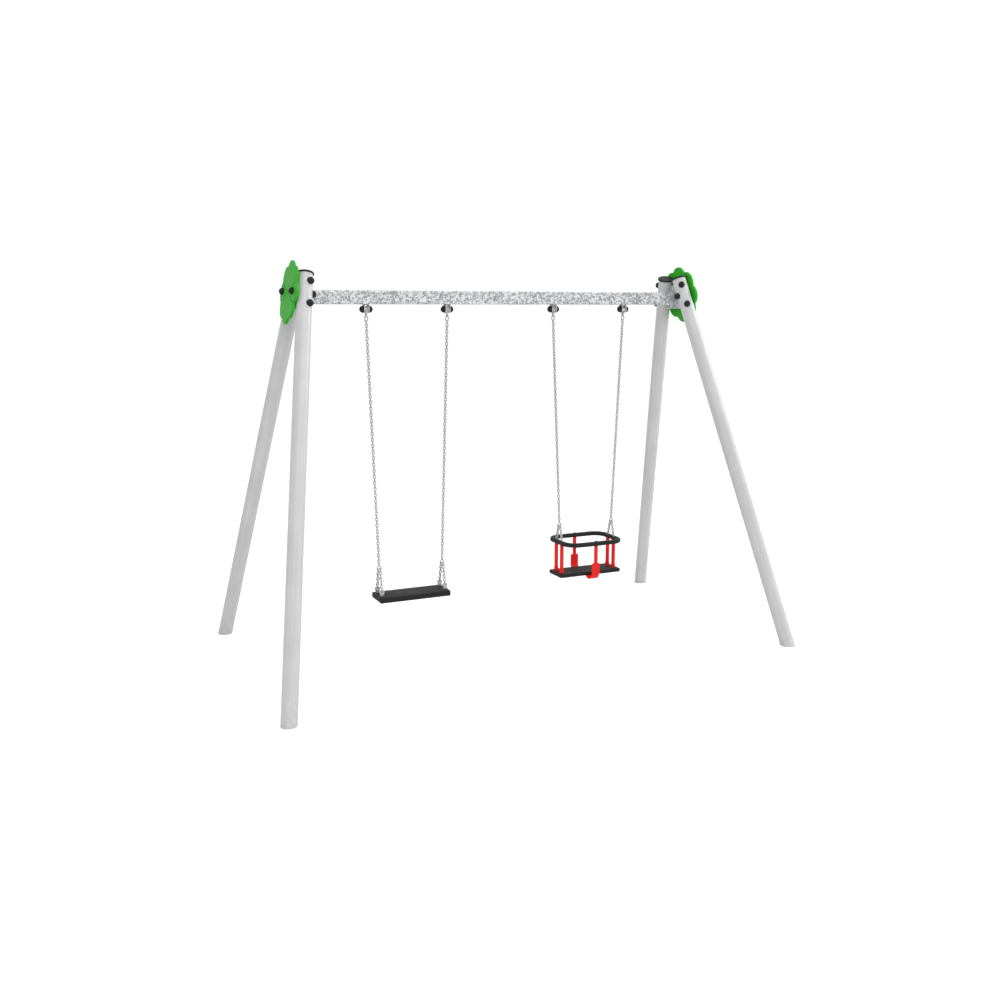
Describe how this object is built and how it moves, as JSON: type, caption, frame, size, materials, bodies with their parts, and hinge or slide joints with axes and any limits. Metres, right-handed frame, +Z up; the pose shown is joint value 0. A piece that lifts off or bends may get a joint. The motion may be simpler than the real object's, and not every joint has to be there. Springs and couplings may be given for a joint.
{
  "type": "two-bay swing set",
  "caption": "A-frame public swing set with a square steel beam, splayed tubular legs, green flower end panels, a flat rubber seat and a red and black toddler cradle seat on chains.",
  "frame": {"origin": "on the ground, below the middle of the beam", "axes": "+X along the beam towards the cradle seat, -Y towards the front, +Z up"},
  "size_m": [3.308, 1.858, 2.3856],
  "materials": {
    "leg_paint": "light grey powder coat, soft gloss",
    "galvanised": "hot-dip galvanised with spangle",
    "chain_steel": "bright galvanised chain",
    "fastener_steel": "zinc-plated steel",
    "black_plastic": "moulded black plastic, satin",
    "green_panel": "green HDPE sheet, fine orange-peel",
    "seat_rubber": "moulded black rubber, matte",
    "red_plastic": "red moulded plastic, satin gloss",
    "bush_plastic": "natural acetal"
  },
  "bodies": {
    "frame": {"bracket_bolt_caps": "black_plastic", "bracket_bolts": "fastener_steel", "crossbeam": "galvanised", "end_bracket_left": "galvanised", "end_bracket_right": "galvanised", "flower_panel_left": "green_panel", "flower_panel_right": "green_panel", "hanger_bracket_cradle_left": "galvanised", "hanger_bracket_cradle_right": "galvanised", "hanger_bracket_flat_left": "galvanised", "hanger_bracket_flat_right": "galvanised", "leg_cap_front_left": "black_plastic", "leg_cap_front_right": "black_plastic", "leg_cap_rear_left": "black_plastic", "leg_cap_rear_right": "black_plastic", "leg_front_left": "leg_paint", "leg_front_right": "leg_paint", "leg_rear_left": "leg_paint", "leg_rear_right": "leg_paint", "lock_nuts": "fastener_steel", "panel_bolt_caps": "black_plastic", "panel_bolts": "fastener_steel", "panel_spacers": "black_plastic", "pivot_bolt_caps": "black_plastic", "pivot_bolts": "fastener_steel"},
    "flat_swing_chains": {"chain_flat_left": "chain_steel", "chain_flat_right": "chain_steel", "hanger_shackle_flat_left": "chain_steel", "hanger_shackle_flat_right": "chain_steel", "joining_rings_flat": "chain_steel", "pivot_bearing_flat_left": "galvanised", "pivot_bearing_flat_right": "galvanised", "pivot_bushes_flat": "bush_plastic"},
    "flat_swing_seat": {"flat_seat": "seat_rubber", "flat_seat_lugs": "chain_steel", "flat_seat_pins": "fastener_steel", "flat_seat_plate": "fastener_steel", "seat_chain_flat_left": "chain_steel", "seat_chain_flat_right": "chain_steel"},
    "cradle_swing_chains": {"chain_cradle_left": "chain_steel", "chain_cradle_right": "chain_steel", "hanger_shackle_cradle_left": "chain_steel", "hanger_shackle_cradle_right": "chain_steel", "joining_rings_cradle": "chain_steel", "pivot_bearing_cradle_left": "galvanised", "pivot_bearing_cradle_right": "galvanised", "pivot_bushes_cradle": "bush_plastic"},
    "cradle_swing_seat": {"cradle_frame": "fastener_steel", "cradle_seat": "seat_rubber", "cradle_seat_plate": "fastener_steel", "front_paddle": "red_plastic", "grab_ring": "seat_rubber", "paddle_screws": "fastener_steel", "rear_paddle": "red_plastic", "ring_caps": "black_plastic", "seat_chain_cradle_left": "chain_steel", "seat_chain_cradle_right": "chain_steel", "side_sleeves_left": "red_plastic", "side_sleeves_right": "red_plastic", "tie_rod_nuts": "fastener_steel"}
  },
  "joints": [
    {"name": "flat_swing", "type": "hinge", "parent": "frame", "child": "flat_swing_chains", "pos_m": [-0.614, 0, 2.113], "axis": [1, 0, 0], "range_deg": [-60, 60]},
    {"name": "flat_seat_tilt", "type": "hinge", "parent": "flat_swing_chains", "child": "flat_swing_seat", "pos_m": [-0.614, 0, 0.551], "axis": [1, 0, 0], "range_deg": [-25, 25]},
    {"name": "cradle_swing", "type": "hinge", "parent": "frame", "child": "cradle_swing_chains", "pos_m": [0.614, 0, 2.113], "axis": [1, 0, 0], "range_deg": [-60, 60]},
    {"name": "cradle_seat_tilt", "type": "hinge", "parent": "cradle_swing_chains", "child": "cradle_swing_seat", "pos_m": [0.614, 0, 0.716], "axis": [1, 0, 0], "range_deg": [-25, 25]}
  ]
}
